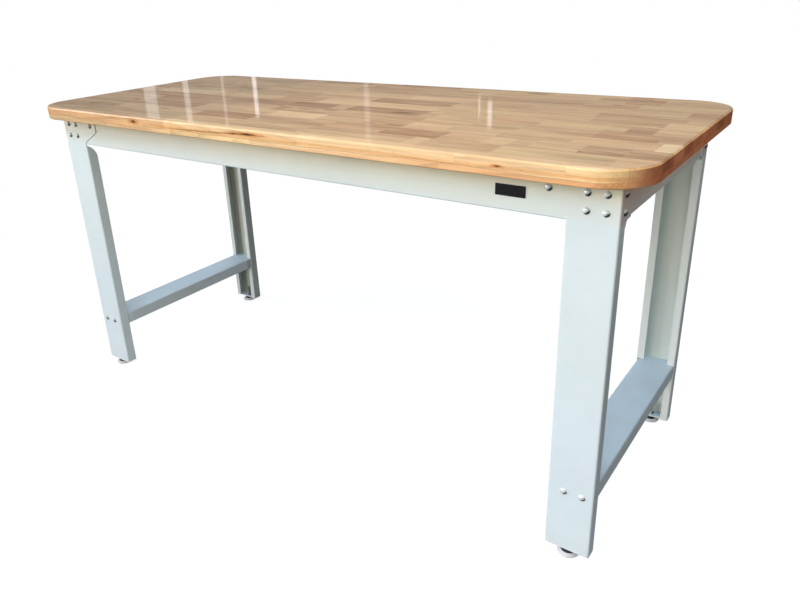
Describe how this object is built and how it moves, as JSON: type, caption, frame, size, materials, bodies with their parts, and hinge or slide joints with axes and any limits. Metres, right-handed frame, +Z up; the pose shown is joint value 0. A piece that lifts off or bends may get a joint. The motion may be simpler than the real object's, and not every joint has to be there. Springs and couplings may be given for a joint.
{
  "type": "workbench",
  "caption": "Workbench with a laminated hardwood top with rounded corners on a bolted frame of folded steel channels, with end stretchers and levelling feet.",
  "frame": {"origin": "on the floor under the middle of the top, with the feet screwed right in", "axes": "+X along the bench to the right, +Y to the rear, +Z up"},
  "size_m": [1.8, 0.75, 0.88],
  "materials": {
    "laminated_top": "clear lacquer, satin to gloss",
    "powder_coat": "pale grey-green powder coat, satin",
    "zinc_steel": "bright zinc plated steel",
    "pad_plastic": "moulded nylon"
  },
  "bodies": {
    "bench": {"top_board": "laminated_top", "front_apron": "powder_coat", "rear_apron": "powder_coat", "left_end_rail": "powder_coat", "right_end_rail": "powder_coat", "leg_front_left": "powder_coat", "leg_front_right": "powder_coat", "leg_rear_left": "powder_coat", "leg_rear_right": "powder_coat", "stretcher_left": "powder_coat", "stretcher_right": "powder_coat", "front_apron_bolts": "zinc_steel", "rear_apron_bolts": "zinc_steel", "front_apron_nuts": "zinc_steel", "rear_apron_nuts": "zinc_steel", "left_rail_bolts": "zinc_steel", "right_rail_bolts": "zinc_steel", "left_rail_nuts": "zinc_steel", "right_rail_nuts": "zinc_steel", "left_stretcher_bolts": "zinc_steel", "right_stretcher_bolts": "zinc_steel", "left_stretcher_nuts": "zinc_steel", "right_stretcher_nuts": "zinc_steel", "top_screws": "zinc_steel", "foot_plate_front_left": "powder_coat", "foot_plate_front_right": "powder_coat", "foot_plate_rear_left": "powder_coat", "foot_plate_rear_right": "powder_coat", "weld_nut_front_left": "zinc_steel", "weld_nut_front_right": "zinc_steel", "weld_nut_rear_left": "zinc_steel", "weld_nut_rear_right": "zinc_steel", "lock_nut_front_left": "zinc_steel", "lock_nut_front_right": "zinc_steel", "lock_nut_rear_left": "zinc_steel", "lock_nut_rear_right": "zinc_steel"},
    "pad_front_left": {"foot_pad_front_left": "pad_plastic"},
    "stud_front_left": {"foot_stud_front_left": "zinc_steel"},
    "pad_front_right": {"foot_pad_front_right": "pad_plastic"},
    "stud_front_right": {"foot_stud_front_right": "zinc_steel"},
    "pad_rear_left": {"foot_pad_rear_left": "pad_plastic"},
    "stud_rear_left": {"foot_stud_rear_left": "zinc_steel"},
    "pad_rear_right": {"foot_pad_rear_right": "pad_plastic"},
    "stud_rear_right": {"foot_stud_rear_right": "zinc_steel"}
  },
  "joints": [
    {"name": "pad_slide_front_left", "type": "slide", "parent": "bench", "child": "pad_front_left", "axis": [0, 0, 1], "range_m": [-0.02, 0]},
    {"name": "stud_turn_front_left", "type": "hinge", "parent": "pad_front_left", "child": "stud_front_left", "pos_m": [-0.8, -0.304, 0.03], "axis": [0, 0, 1], "range_deg": [-4800, 0]},
    {"name": "pad_slide_front_right", "type": "slide", "parent": "bench", "child": "pad_front_right", "axis": [0, 0, 1], "range_m": [-0.02, 0]},
    {"name": "stud_turn_front_right", "type": "hinge", "parent": "pad_front_right", "child": "stud_front_right", "pos_m": [0.8, -0.304, 0.03], "axis": [0, 0, 1], "range_deg": [-4800, 0]},
    {"name": "pad_slide_rear_left", "type": "slide", "parent": "bench", "child": "pad_rear_left", "axis": [0, 0, 1], "range_m": [-0.02, 0]},
    {"name": "stud_turn_rear_left", "type": "hinge", "parent": "pad_rear_left", "child": "stud_rear_left", "pos_m": [-0.8, 0.304, 0.03], "axis": [0, 0, 1], "range_deg": [-4800, 0]},
    {"name": "pad_slide_rear_right", "type": "slide", "parent": "bench", "child": "pad_rear_right", "axis": [0, 0, 1], "range_m": [-0.02, 0]},
    {"name": "stud_turn_rear_right", "type": "hinge", "parent": "pad_rear_right", "child": "stud_rear_right", "pos_m": [0.8, 0.304, 0.03], "axis": [0, 0, 1], "range_deg": [-4800, 0]}
  ],
  "couplings": [
    {"joint": "stud_turn_front_left", "follows": "pad_slide_front_left", "rad_per_m": 4188.8},
    {"joint": "stud_turn_front_right", "follows": "pad_slide_front_right", "rad_per_m": 4188.8},
    {"joint": "stud_turn_rear_left", "follows": "pad_slide_rear_left", "rad_per_m": 4188.8},
    {"joint": "stud_turn_rear_right", "follows": "pad_slide_rear_right", "rad_per_m": 4188.8}
  ]
}
